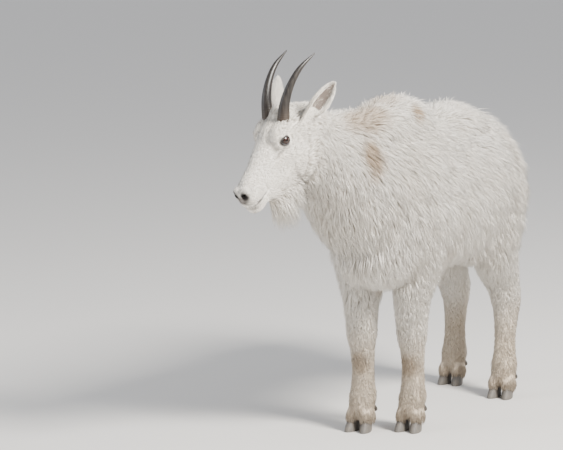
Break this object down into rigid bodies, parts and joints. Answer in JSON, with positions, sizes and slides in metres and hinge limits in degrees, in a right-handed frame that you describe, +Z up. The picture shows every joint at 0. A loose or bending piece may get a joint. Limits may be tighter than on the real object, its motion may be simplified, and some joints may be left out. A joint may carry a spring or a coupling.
{
  "type": "mountain goat model",
  "caption": "Life-size still model of a standing mountain goat nanny in summer coat, with slender black horns, a short beard and her head turned to her right.",
  "frame": {"origin": "under the middle of the model's bounding box, at the floor", "axes": "+Z up; the goat faces -Y, and her left side is +X"},
  "size_m": [0.4054, 1.3778, 1.0735],
  "materials": {
    "white_coat": "long and short cream-white fur",
    "horn_black": "black horn sheath, ringed near its foot",
    "hoof_grey": "worn grey hoof horn",
    "eye_amber": "wet dark amber eye"
  },
  "bodies": {
    "root": {"head": "white_coat", "neck": "white_coat", "torso": "white_coat", "tail": "white_coat", "ear_left": "white_coat", "ear_right": "white_coat", "eye_left": "eye_amber", "eye_right": "eye_amber", "horn_left": "horn_black", "horn_right": "horn_black", "leg_front_left_upper": "white_coat", "leg_front_left_lower": "white_coat", "leg_front_right_upper": "white_coat", "leg_front_right_lower": "white_coat", "leg_hind_left_upper": "white_coat", "leg_hind_left_lower": "white_coat", "leg_hind_right_upper": "white_coat", "leg_hind_right_lower": "white_coat", "hoof_front_left_left_toe": "hoof_grey", "hoof_front_left_right_toe": "hoof_grey", "hoof_front_right_left_toe": "hoof_grey", "hoof_front_right_right_toe": "hoof_grey", "hoof_hind_left_left_toe": "hoof_grey", "hoof_hind_left_right_toe": "hoof_grey", "hoof_hind_right_left_toe": "hoof_grey", "hoof_hind_right_right_toe": "hoof_grey", "dewclaw_front_left_left_toe": "hoof_grey", "dewclaw_front_left_right_toe": "hoof_grey", "dewclaw_front_right_left_toe": "hoof_grey", "dewclaw_front_right_right_toe": "hoof_grey", "dewclaw_hind_left_left_toe": "hoof_grey", "dewclaw_hind_left_right_toe": "hoof_grey", "dewclaw_hind_right_left_toe": "hoof_grey", "dewclaw_hind_right_right_toe": "hoof_grey"}
  },
  "joints": []
}
